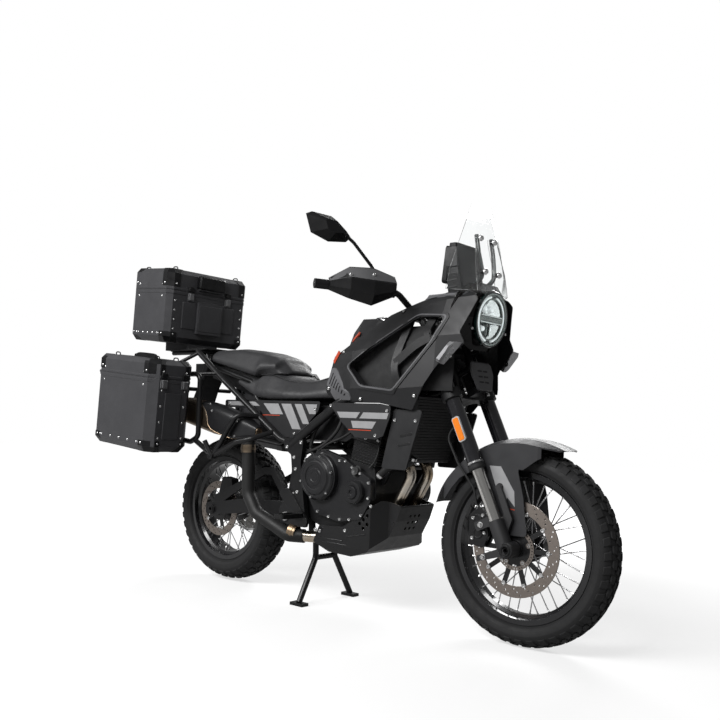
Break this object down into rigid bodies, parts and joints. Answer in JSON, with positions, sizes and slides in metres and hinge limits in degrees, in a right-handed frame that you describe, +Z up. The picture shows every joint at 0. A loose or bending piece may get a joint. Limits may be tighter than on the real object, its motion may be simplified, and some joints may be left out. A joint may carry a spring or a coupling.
{
  "type": "adventure motorcycle",
  "caption": "Adventure motorcycle with wire wheels, a tall screen, handguards and aluminium luggage cases, parked on its centre stand",
  "frame": {"origin": "on the floor, under the middle of the whole machine with its cases", "axes": "+X forward, +Y to the rider's left, +Z up"},
  "size_m": [2.3519, 1, 1.506],
  "materials": {
    "tyre_rubber": "matte",
    "rim_black": "satin",
    "spoke_steel": "polished",
    "hub_black": "satin",
    "disc_steel": "drilled and brushed",
    "fork_dark": "gloss anodised",
    "fork_chrome": "polished",
    "yoke_black": "satin",
    "cast_black": "satin",
    "plastic_charcoal": "fine grain",
    "plastic_black": "fine grain",
    "rubber_black": "matte",
    "frame_black": "satin",
    "engine_black": "fine cast texture",
    "header_steel": "heat tinted",
    "pipe_black": "matt heat paint",
    "muffler_steel": "heat tinted shell with a dark shield",
    "radiator_black": "matte",
    "tank_black": "satin",
    "lamp_glass": "clear lens over a bright reflector",
    "screen_clear": "clear",
    "signal_lens": "smoked clear",
    "seat_cover": "grained vinyl with a seam",
    "chain_steel": "oiled",
    "case_black": "powder coated",
    "shock_dark": "satin"
  },
  "bodies": {
    "chassis": {"main_frame": "frame_black", "engine": "engine_black", "engine_covers": "engine_black", "exhaust_headers": "header_steel", "exhaust_pipe": "pipe_black", "muffler": "muffler_steel", "skid_plate": "frame_black", "radiator": "radiator_black", "radiator_guards": "plastic_black", "fuel_tank": "tank_black", "side_cowls": "plastic_charcoal", "nose_fairing": "plastic_charcoal", "headlamp": "lamp_glass", "windscreen": "screen_clear", "dash_tower": "plastic_black", "front_turn_signals": "signal_lens", "rider_seat": "seat_cover", "passenger_seat": "seat_cover", "side_panels": "plastic_black", "subframe": "frame_black", "tail_unit": "plastic_black", "pannier_racks": "frame_black", "swingarm": "cast_black", "shock": "shock_dark", "rear_caliper": "cast_black", "footpegs": "frame_black", "chain": "chain_steel", "top_case": "case_black", "side_case_left": "case_black", "side_case_right": "case_black"},
    "fork": {"fork_yoke": "yoke_black", "fork_outer_tubes": "fork_dark", "fork_lowers": "fork_chrome", "front_fender": "plastic_charcoal", "front_calipers": "cast_black", "fork_shield": "plastic_black", "handlebar": "yoke_black", "hand_controls": "rubber_black", "handguards": "plastic_black", "mirrors": "plastic_black", "front_brake_hose": "rubber_black"},
    "front_wheel": {"front_tyre": "tyre_rubber", "front_rim": "rim_black", "front_hub": "hub_black", "front_spokes": "spoke_steel", "front_discs": "disc_steel"},
    "rear_wheel": {"rear_tyre": "tyre_rubber", "rear_rim": "rim_black", "rear_hub": "hub_black", "rear_spokes": "spoke_steel", "rear_disc": "disc_steel", "rear_sprocket": "chain_steel"},
    "top_lid": {"top_case_lid": "case_black"},
    "left_lid": {"side_case_lid_left": "case_black"},
    "right_lid": {"side_case_lid_right": "case_black"},
    "centre_stand": {"centre_stand": "frame_black"},
    "side_stand": {"side_stand": "frame_black"}
  },
  "joints": [
    {"name": "steering", "type": "hinge", "parent": "chassis", "child": "fork", "pos_m": [0.5708, 0, 0.805], "axis": [-0.4305, 0, 0.9026], "range_deg": [-35, 35]},
    {"name": "front_wheel_spin", "type": "hinge", "parent": "fork", "child": "front_wheel", "pos_m": [0.844, 0, 0.332], "axis": [0, 1, 0], "continuous": true},
    {"name": "rear_wheel_spin", "type": "hinge", "parent": "chassis", "child": "rear_wheel", "pos_m": [-0.643, 0, 0.323], "axis": [0, 1, 0], "continuous": true},
    {"name": "centre_stand_fold", "type": "hinge", "parent": "chassis", "child": "centre_stand", "pos_m": [-0.0775, 0, 0.262], "axis": [0, 1, 0], "range_deg": [0, 75]},
    {"name": "side_stand_swing", "type": "hinge", "parent": "chassis", "child": "side_stand", "pos_m": [0.0385, 0.196, 0.298], "axis": [-0.089, -0.9109, -0.4029], "range_deg": [0, 93]},
    {"name": "top_case_lid_hinge", "type": "hinge", "parent": "chassis", "child": "top_lid", "pos_m": [-1.166, 0, 1.3131], "axis": [0, -1, 0], "range_deg": [0, 95]},
    {"name": "left_case_lid_hinge", "type": "hinge", "parent": "chassis", "child": "left_lid", "pos_m": [-1.0161, 0.3925, 0.9084], "axis": [0, -1, 0], "range_deg": [0, 95]},
    {"name": "right_case_lid_hinge", "type": "hinge", "parent": "chassis", "child": "right_lid", "pos_m": [-1.0161, -0.3925, 0.9084], "axis": [0, -1, 0], "range_deg": [0, 95]}
  ]
}
